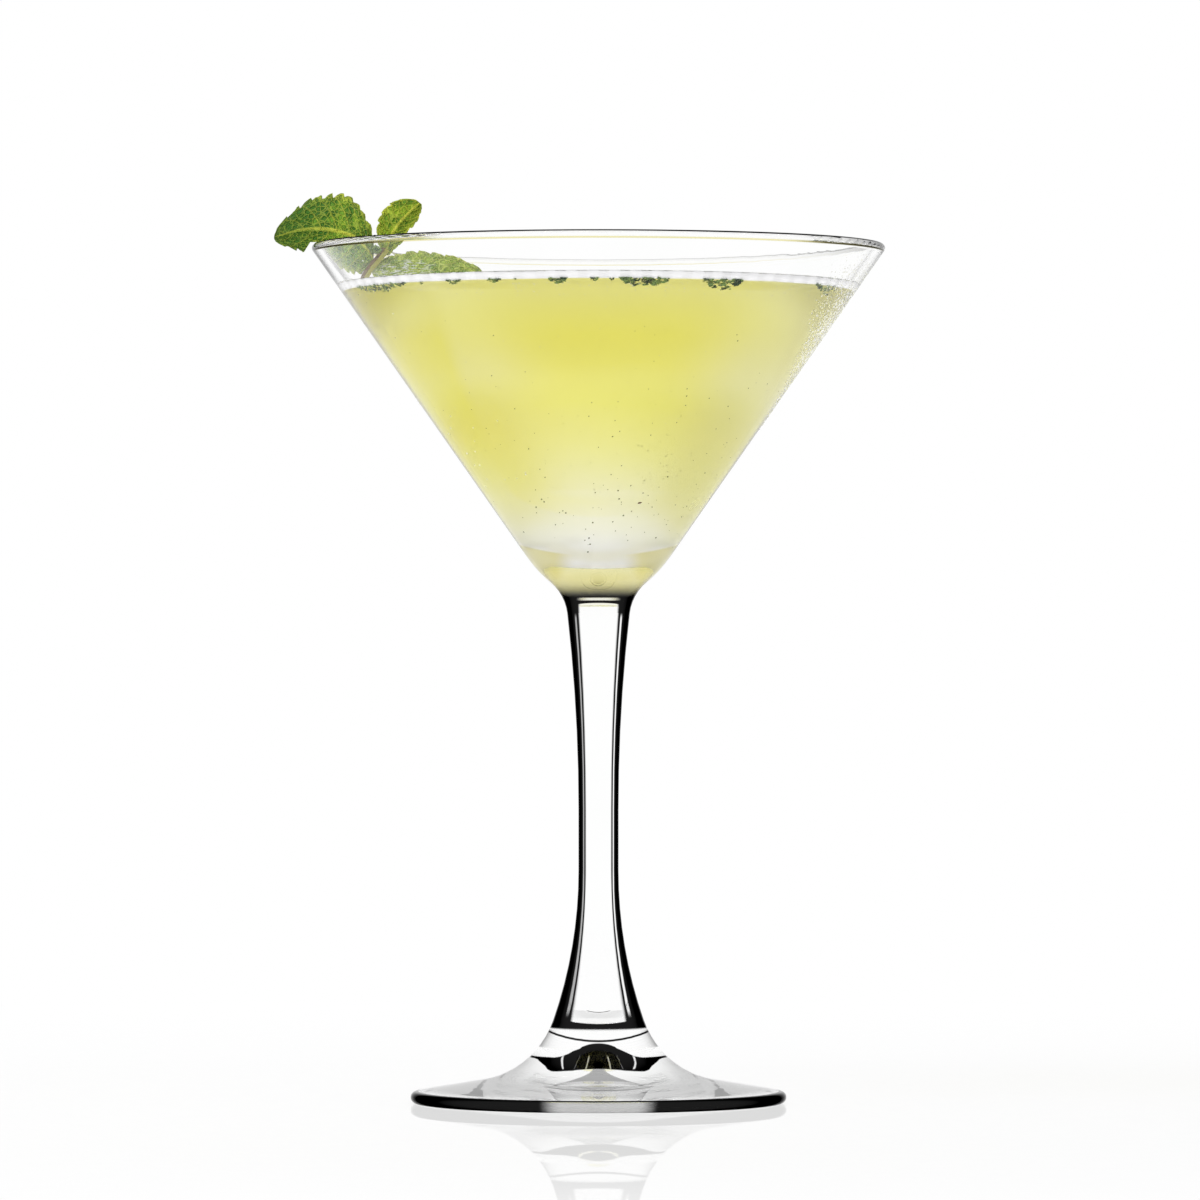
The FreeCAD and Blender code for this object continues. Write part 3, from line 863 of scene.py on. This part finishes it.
def leaf_finish(name, veins, size, dark, light, vein_colour, wet_gloss_and_painted_highlight=0.0, painted_tip_shade=0.0):
    """Green cells between pale veins, whose fine net is also a painted highlight on the ridges,
    glossy wet streaks with a painted highlight near the base, and painted shade towards the tip.
    """
    f = Finish(name)
    b = BladePlace(f, *size)
    side_vein, net = vein_signals(f, b, veins)
    net_vein_and_painted_ridge_light = 1 - net.between(0.02, 0.16)
    midrib = 1 - b.out.between(0.015, 0.07)
    # painted shade that darkens the blade towards its tip
    deep = painted_tip_shade * b.share.between(0.45, 0.85)
    cell = f.blend((f.noise(0.35, 3.0, b.flat) - deep).between(0.38, 0.64), dark, light)
    # the fine net is the veins' own colour and also a painted highlight on the ridges between the
    # cells
    lines = (0.6 * side_vein).larger(0.9 * midrib).larger(0.36 * net_vein_and_painted_ridge_light)
    edge_glow = b.out.between(0.75, 1.0) * (0.35 - deep)
    lines = (lines + edge_glow).smaller(1.0) * (1 - 2 * deep)
    colour = f.blend(lines, cell, vein_colour)
    # the streaks get a glossy coat, and their pale colour is a painted highlight
    streak = f.noise(0.9, 3.0, b.spread(0.5, 2.2)).between(0.50, 0.57)
    streak = streak * (1 - b.share.between(0.30, 0.62)) * (1 - b.side.between(0.30, 0.65))
    grain = f.noise(6.0, 3.0, b.flat)
    height = net.between(0.0, 0.32) * 0.6 + (1 - side_vein) * 0.3 + 0.15 * grain
    return f.done(f.surface(
        Base_Color=f.blend(wet_gloss_and_painted_highlight * streak, colour, (0.86, 0.90, 0.80)),
        Roughness=0.42 - 0.12 * net_vein_and_painted_ridge_light,
        Coat_Weight=wet_gloss_and_painted_highlight * streak,
        Coat_Roughness=0.12,
        Specular_IOR_Level=0.2,
        Normal=f.bumped(height, 0.0008, 0.9),
    ))


# %% Large leaf
def over_the_rim(point):
    """Lifts a point off the wall and the lip of the glass, as the CAD leaf is."""
    gap = 0.2 * MM + LEAF_HALF + 0.03 * MM
    radius = math.hypot(point.x, point.y)
    wall = inner_point + (radius + gap / math.cos(CONE)) / SLANT
    drape = LIP + gap - 1.6 * max(radius - RIM - gap, 0)
    return Vector((point.x, point.y, max(point.z, min(wall, drape))))


def way(x, y, z, size=1):
    """A way to go, in millimetres."""
    return Vector((x, y, z)) * size * MM


STEM_OUT = 0.87
base = on_stem(0.58, Vector((-1.3, 0.6, 0.5)).normalized() * STEM_OUT)
tip = base + way(-0.91, -0.03, 0.19, 21.5)
large_leaf = leaf(
    "mint_leaf_over_rim",
    leaf_finish(
        "large_leaf_green",
        veins=7,
        size=(21.5, 8.0),
        dark=(0.058, 0.185, 0.020),
        light=(0.235, 0.45, 0.036),
        vein_colour=(0.74, 0.78, 0.09),
        painted_tip_shade=0.2,
    ),
    flat_blade(
        midrib=(base, base + way(-2.4, -0.5, 5.8), tip + way(9.0, -0.6, 3.2), tip),
        upper=(way(0.02, 0.45, 1.0, 7.8), way(0.02, 0.45, 1.0, 7.8)),
        lower=(way(-0.30, -0.25, -0.92, 9.0), way(0.02, -0.35, -0.72, 7.2)),
        widest=0.47,
        bend=way(0, 1.4, 0),
        teeth=11,
        notch=0.13,
        lobe=way(0.6, 0.3, 0),
    ),
    veins=7,
    puff=0.34,
    settle=over_the_rim,
)
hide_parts("mint_leaf_large")

# %% Upright leaf
base = stem_points[-1] + Vector((0.1, 0.3, -1.1)) * MM
tip = base + way(0.54, 0.12, 0.83, 12.3)
upright_leaf = leaf(
    "mint_leaf_upright",
    leaf_finish(
        "upright_leaf_green",
        veins=9,
        size=(11.6, 4.3),
        dark=(0.12, 0.28, 0.024),
        light=(0.32, 0.50, 0.035),
        vein_colour=(0.80, 0.82, 0.10),
    ),
    flat_blade(
        midrib=(base, base + way(0.2, 0.2, 4.2), tip + way(-3.0, 0.4, -2.6), tip),
        upper=(way(0.86, 0.25, -0.40, 2.9), way(0.80, 0.25, -0.50, 2.5)),
        lower=(way(-0.92, 0.30, 0.20, 3.6), way(-0.74, 0.30, 0.62, 5.2)),
        widest=0.56,
        bend=way(0, -0.9, 0),
        teeth=7,
        notch=0.16,
    ),
    veins=9,
    puff=0.26,
)
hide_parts("mint_leaf_upright")


# %% Floating leaf
def above_drink(point):
    """Keeps a point of the floating leaf on the surface."""
    return Vector((point.x, point.y, max(point.z, LEVEL + LEAF_HALF + 0.05 * MM)))


base = on_stem(0.40, (STEM_OUT * 0.98, 0, -STEM_OUT * 0.2))
tip = base + way(0.98, 0.10, 0, 25.0)
tip.z = LEVEL + 0.9 * MM
floating_leaf = leaf(
    "mint_leaf_floating",
    leaf_finish(
        "floating_leaf_green",
        veins=8,
        size=(25.0, 4.2),
        dark=(0.20, 0.34, 0.05),
        light=(0.44, 0.58, 0.09),
        vein_colour=(0.84, 0.86, 0.24),
        wet_gloss_and_painted_highlight=0.95,
    ),
    flat_blade(
        midrib=(base, base + way(6, 0.6, 1), tip + way(-8, 0, 3.9), tip),
        upper=(way(0.05, 0.55, 0.85, 4.2), way(0.05, 0.55, 0.85, 4.2)),
        lower=(way(0.05, -0.75, -0.60, 4.2), way(0.05, -0.75, -0.60, 4.2)),
        widest=0.42,
        bend=way(0, 0.5, 0.2),
        teeth=10,
        notch=0.14,
    ),
    veins=8,
    puff=0.26,
    settle=above_drink,
)
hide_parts("mint_leaf_floating")


# %% Mint stem
def stem_finish():
    f = Finish("mint_stem_skin")
    turn = f.node("ShaderNodeNewGeometry", output="Normal")
    left = f.node("ShaderNodeSeparateXYZ", None, {0: turn}, "X")
    streak = f.noise(900.0, 3.0)
    share = (left + 0.5 * streak).between(0.0, 0.55)
    colour = f.blend(share, (0.15, 0.085, 0.022), (0.42, 0.40, 0.05))
    return f.done(f.surface(
        Base_Color=colour,
        Roughness=0.35 + 0.2 * streak,
        Normal=f.bumped(f.noise(1500.0, 2.0), 0.0002, 0.6),
    ))


mint_stem = nodes["mint_stem"]
mint_stem.data.materials.clear()
mint_stem.data.materials.append(stem_finish())
print("mint stem", len(mint_stem.data.polygons), "faces")

# %% [markdown]
# ## The bud
# The stem ends in a knot of leaves that have not opened yet. Each one is a small drop, and
# together they cover the end of the stem.

# %% Small solids
def drop(centre, axis, length, width, around=8, along=6):
    """Points and faces of a small drop with its thick end at the centre."""
    axis = axis.normalized()
    first = axis.orthogonal().normalized()
    second = axis.cross(first)
    points = [centre - axis * length * 0.15]
    for i in range(1, along):
        share = i / along
        swell = width / 2 * math.sin(math.pi * share**0.75)
        for j in range(around):
            a = 2 * math.pi * j / around
            spoke = first * math.cos(a) + second * math.sin(a)
            points.append(centre + axis * length * (share - 0.15) + spoke * swell)
    points.append(centre + axis * length * 0.85)
    faces = [(0, 1 + (j + 1) % around, 1 + j) for j in range(around)]
    for i in range(along - 2):
        for j in range(around):
            a, b = 1 + i * around + j, 1 + i * around + (j + 1) % around
            faces.append((a, b, b + around, a + around))
    last = len(points) - 1
    start = last - around
    faces += [(last, start + j, start + (j + 1) % around) for j in range(around)]
    return points, faces


def joined(name, parts, material, smooth=True):
    """One piece from many small solids."""
    points, faces = [], []
    for some_points, some_faces in parts:
        offset = len(points)
        points.extend(some_points)
        faces.extend(tuple(i + offset for i in face) for face in some_faces)
    piece = mesh_piece(name, points, faces, material, smooth)
    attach(piece, "root")
    triangles = sum(len(face) - 2 for face in faces)
    print(name, len(parts), "parts,", triangles, "triangles")


# %% Mint bud
def bud_finish():
    f = Finish("mint_bud_skin")
    patch = f.noise(1200.0, 2.0)
    return f.done(f.surface(
        Base_Color=f.blend(patch.between(0.35, 0.65), (0.035, 0.085, 0.022), (0.20, 0.29, 0.07)),
        Roughness=0.45 + 0.1 * patch,
        Normal=f.bumped(patch, 0.0002, 0.5),
    ))


chance = random.Random(11)
bud_centre = RIM_POINT + Vector((12.7, -3.3, -1.6)) * MM
leaflets = []
for i in range(16):
    a = 2.4 * i
    lean = 0.25 + 1.15 * (i / 15)
    out = Vector((math.cos(a) * math.sin(lean), math.sin(a) * math.sin(lean), math.cos(lean)))
    size_now = chance.uniform(1.2, 1.8) * MM
    spot = bud_centre + out * 0.25 * MM
    leaflets.append(drop(spot, out, size_now, 0.55 * size_now))
joined("mint_bud", leaflets, bud_finish())

# %% [markdown]
# ## Chopped mint
# The drink was stirred with chopped mint. The larger flakes float just under the surface
# against the wall in front, and dust hangs along the wall further down. A flake is a
# crumpled plate with a ragged outline. Most clumps have a known place, a few more are
# scattered round the sides and the back.

# %% Chopped mint
def flake(centre, facing, size, chance):
    """A crumpled plate of mint with a ragged outline."""
    first = facing.cross(Vector((0, 0, 1))).normalized()
    second = facing.cross(first)
    turn = chance.uniform(-0.5, 0.5)
    count = chance.randint(6, 9)
    points = []
    for side in (-1, 1):
        for i in range(count):
            a = 2 * math.pi * i / count
            reach = size * chance.uniform(0.55, 1.15)
            u = reach * math.cos(a) * 1.45
            v = reach * math.sin(a) * 0.62
            u, v = u * math.cos(turn) - v * math.sin(turn), u * math.sin(turn) + v * math.cos(turn)
            crumple = chance.uniform(-0.2, 0.2) * size + side * 0.05 * MM
            points.append(centre + first * u + second * v + facing * crumple)
    ring = list(range(count))
    faces = [tuple(reversed(ring)), tuple(i + count for i in ring)]
    faces += [(i, (i + 1) % count, (i + 1) % count + count, i + count) for i in ring]
    return points, faces


def on_wall(turn, height, under):
    """A point under the inner wall, and the wall's direction there. Turn 0 is in front."""
    outward = Vector((math.sin(turn), -math.cos(turn), 0))
    facing = (outward * math.cos(CONE) - Vector((0, 0, 1)) * math.sin(CONE)).normalized()
    return outward * inside(height) + Vector((0, 0, height)) - facing * under, facing


def chopped_finish():
    f = Finish("chopped_mint_skin")
    patch = f.noise(700.0, 3.0)
    return f.done(f.surface(
        Base_Color=f.blend(patch.between(0.38, 0.62), (0.025, 0.062, 0.018), (0.20, 0.31, 0.07)),
        Roughness=0.5 + 0.1 * patch,
    ))


# each clump's left and right end, its depth and the size of its flakes, in millimetres
CLUMPS = (
    (-46.2, -36.9, 1.3, 0.42), (-34.0, -33.4, 0.5, 0.20), (-28.8, -26.3, 0.7, 0.30),
    (-21.0, -18.6, 0.6, 0.28), (-16.0, -15.6, 0.4, 0.16), (-9.4, -6.1, 1.0, 0.36),
    (-1.5, 0.0, 0.6, 0.24), (2.1, 2.9, 0.6, 0.20), (4.0, 13.6, 1.5, 0.46),
    (20.0, 27.4, 1.8, 0.48), (41.7, 45.9, 1.6, 0.44),
)
chance = random.Random(5)
flakes = []
for left, right, deep, size_now in CLUMPS:
    for i in range(int(5 + 13 * (right - left))):
        x = chance.uniform(left, right) * MM
        along = abs((x / MM - left) / (right - left) - 0.5) * 2
        height = LEVEL + (0.45 - deep * chance.random() ** 1.2 * (1.1 - along**2)) * MM
        turn = math.asin(max(-0.97, min(0.97, x / inside(height))))
        spot, facing = on_wall(turn, height, chance.uniform(-0.30, 0.06) * MM)
        flakes.append(flake(spot, facing, size_now * chance.uniform(0.35, 0.95) * MM, chance))
for i in range(10):
    turn = chance.uniform(1.35, 2.2) * chance.choice((-1, 1))
    for j in range(chance.randint(3, 9)):
        height = LEVEL - chance.uniform(0.3, 1.8) * MM
        spot, facing = on_wall(turn + chance.uniform(-0.04, 0.04), height, 0.4 * MM)
        flakes.append(flake(spot, facing, chance.uniform(0.2, 0.6) * MM, chance))
joined("chopped_mint", flakes, chopped_finish(), smooth=False)


# %% Mint dust
def dust_finish():
    f = Finish("mint_dust_skin")
    patch = f.noise(300.0, 1.0)
    return f.done(f.surface(
        Base_Color=f.blend(patch.between(0.3, 0.7), (0.03, 0.035, 0.012), (0.10, 0.11, 0.04)),
        Roughness=0.6 + 0.1 * patch,
    ))


# how far right and how high each single speck is, in millimetres
SPECKS = (
    (3.8, 121.3), (4.0, 119.7), (4.8, 116.5), (13.2, 124.1), (-11.7, 118.2), (-10.7, 119.7),
    (-10.2, 119.2), (-6.1, 117.0), (-1.0, 115.1), (-1.7, 112.1), (-1.5, 110.9), (-1.9, 109.4),
    (-14.0, 113.6), (10.6, 112.2),
)
chance = random.Random(23)
dust = []
for x, height in SPECKS:
    turn = math.asin(x * MM / inside(height * MM))
    spot, facing = on_wall(turn, height * MM, -0.16 * MM)
    dust.append(drop(spot, facing.orthogonal(), 0.42 * MM, 0.34 * MM, 5, 4))
while len(dust) < 420:
    height = chance.triangular(110.0, 158.0, 124.0) * MM
    turn = chance.gauss(0.45, 0.75) if chance.random() < 0.75 else chance.uniform(1.2, 5.2)
    size_now = chance.triangular(0.10, 0.30, 0.14) * MM
    spot, facing = on_wall(turn, height, chance.uniform(-0.26, 0.10) * MM)
    dust.append(drop(spot, facing.orthogonal(), size_now * 1.4, size_now, 5, 4))
joined("mint_dust", dust, dust_finish())


# %% Brown fleck
def fleck_finish():
    f = Finish("brown_fleck_skin")
    patch = f.noise(900.0, 2.0)
    return f.done(f.surface(
        Base_Color=f.blend(patch, (0.07, 0.015, 0.01), (0.16, 0.05, 0.03)), Roughness=0.6
    ))


fleck_height = 118.9 * MM
spot, facing = on_wall(math.asin(7.9 * MM / inside(fleck_height)), fleck_height, -0.16 * MM)
across = Vector((1, 0, 0.15))
joined("brown_fleck", [drop(spot - across * 0.4 * MM, across, 0.95 * MM, 0.38 * MM)],
       fleck_finish())

# %% [markdown]
# ## Froth and bubbles
# Stirring leaves fine froth. It dries up to a thin pale line where the drink climbs the
# wall, and single bubbles hang just below it. The line is a narrow ring whose upper edge
# wavers, and the bubbles are small balls that sit against the wall. The line also glows
# a little, which is painted light that keeps it white.

# %% Froth line
def froth_finish():
    f = Finish("froth_skin")
    foam = f.noise(2500.0, 2.0)
    return f.done(f.surface(
        Base_Color=f.blend(foam.between(0.3, 0.7), (0.86, 0.86, 0.90), (0.97, 0.97, 1.0)),
        Roughness=0.35 + 0.1 * foam,
        # the glow is painted light that keeps the froth line white
        Emission_Color=(0.9, 0.9, 0.95),
        Emission_Strength=0.32,
        Normal=f.bumped(foam, 0.0002, 0.4),
    ))


def froth_ring():
    """A thin closed ring on the wall, from just above the surface to the climbing edge."""
    count = 720
    points = []
    for i in range(count):
        turn = 2 * math.pi * i / count
        out = Vector((math.cos(turn), math.sin(turn), 0))
        waver = noise.noise(out * 6.0) * 0.22 + noise.noise(out * 40.0) * 0.10
        low = LEVEL + (0.35 + 0.4 * waver) * MM
        high = LEVEL + (1.75 + waver) * MM
        for height, under in ((low, 0.03), (high, 0.03), (high - 0.15 * MM, 0.22), (low, 0.28)):
            points.append(out * (inside(height) - under * MM) + Vector((0, 0, height)))
    faces = []
    for i in range(count):
        a, b = 4 * i, 4 * ((i + 1) % count)
        for k in range(4):
            j = (k + 1) % 4
            faces.append((a + k, b + k, b + j, a + j))
    return points, faces


joined("froth_line", [froth_ring()], froth_finish())


# %% Bubbles
def bubble_finish():
    f = Finish("bubble_skin")
    patch = f.noise(500.0, 1.0)
    return f.done(f.surface(
        Base_Color=f.blend(patch, (0.80, 0.80, 0.66), (1.0, 1.0, 0.95)),
        Roughness=0.08 + 0.05 * patch,
    ))


chance = random.Random(7)
bubbles = []
for i in range(620):
    low = i % 5 == 0
    turn = chance.uniform(-math.pi, math.pi) if i % 3 else chance.gauss(0.2, 0.6)
    drop_by = chance.triangular(0.3, 40.0, 1.0) if low else chance.triangular(0.2, 3.2, 0.4)
    size_now = chance.triangular(0.10, 0.36, 0.14) * MM * (0.8 if low else 1.0)
    spot, facing = on_wall(turn, LEVEL - drop_by * MM, size_now * 0.3 - 0.2 * MM)
    bubbles.append(drop(spot, facing.orthogonal(), size_now, size_now * 1.05, 7, 5))
joined("bubbles", bubbles, bubble_finish())

# %% [markdown]
# ## Condensation
# The cold drink has left fine droplets on the outside of the bowl, on the right and
# round towards the back. A droplet is a flat dome that reaches a little into the wall.

# %% Droplets
def water_finish():
    f = Finish("condensation")
    patch = f.noise(200.0, 1.0)
    water = f.surface(
        # the olive patches in the water's colour are painted shade
        Base_Color=f.blend(patch.between(0.35, 0.65), (0.74, 0.73, 0.58), (0.98, 0.98, 0.94)),
        Roughness=0.01,
        IOR=1.33,
        Transmission_Weight=1.0,
    )
    return f.done(f.lamps_pass(water, (0.98, 0.98, 0.98)))


def droplet(turn, height, size, chance):
    """A flat dome of water on the outer wall."""
    outward = Vector((math.sin(turn), -math.cos(turn), 0))
    facing = outward * math.cos(CONE) - Vector((0, 0, 1)) * math.sin(CONE)
    up = outward * math.sin(CONE) + Vector((0, 0, 1)) * math.cos(CONE)
    across = facing.cross(up)
    centre = outward * outside(height) + Vector((0, 0, height))
    tall = chance.uniform(0.9, 1.3)
    around = 8
    points = []
    for rise, reach in ((-0.12, 0.92), (0.12, 0.97), (0.40, 0.72)):
        for j in range(around):
            a = 2 * math.pi * j / around
            spoke = across * math.cos(a) + up * (math.sin(a) * tall)
            points.append(centre + spoke * (size * reach) + facing * (size * rise))
    points.append(centre + facing * size * 0.52)
    points.append(centre - facing * size * 0.12)
    faces = []
    for i in range(2):
        for j in range(around):
            a, b = i * around + j, i * around + (j + 1) % around
            faces.append((a, b, b + around, a + around))
    for j in range(around):
        k = (j + 1) % around
        faces.append((2 * around + j, 2 * around + k, 3 * around))
        faces.append((k, j, 3 * around + 1))
    return points, faces


chance = random.Random(31)
droplets = []
for i in range(3600):
    turn = math.radians(chance.triangular(55.0, 120.0, 78.0))
    height = chance.triangular(133.0, 167.5, 153.0)
    if math.degrees(turn) < 57.0 + (162.0 - height) * 0.95 + chance.gauss(0, 1.5):
        continue
    droplets.append(droplet(turn, height * MM, chance.triangular(0.05, 0.24, 0.10) * MM, chance))
for i in range(60):
    turn = math.radians(chance.uniform(240.0, 330.0))
    height = chance.uniform(120.0, 167.0)
    droplets.append(droplet(turn, height * MM, chance.uniform(0.08, 0.2) * MM, chance))
joined("condensation", droplets, water_finish())

# %% Size and end
size = {"cad": cad_box, "visual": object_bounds()}
size = {name: [[float(c) for c in corner] for corner in box] for name, box in size.items()}
print("visual box", size["visual"])
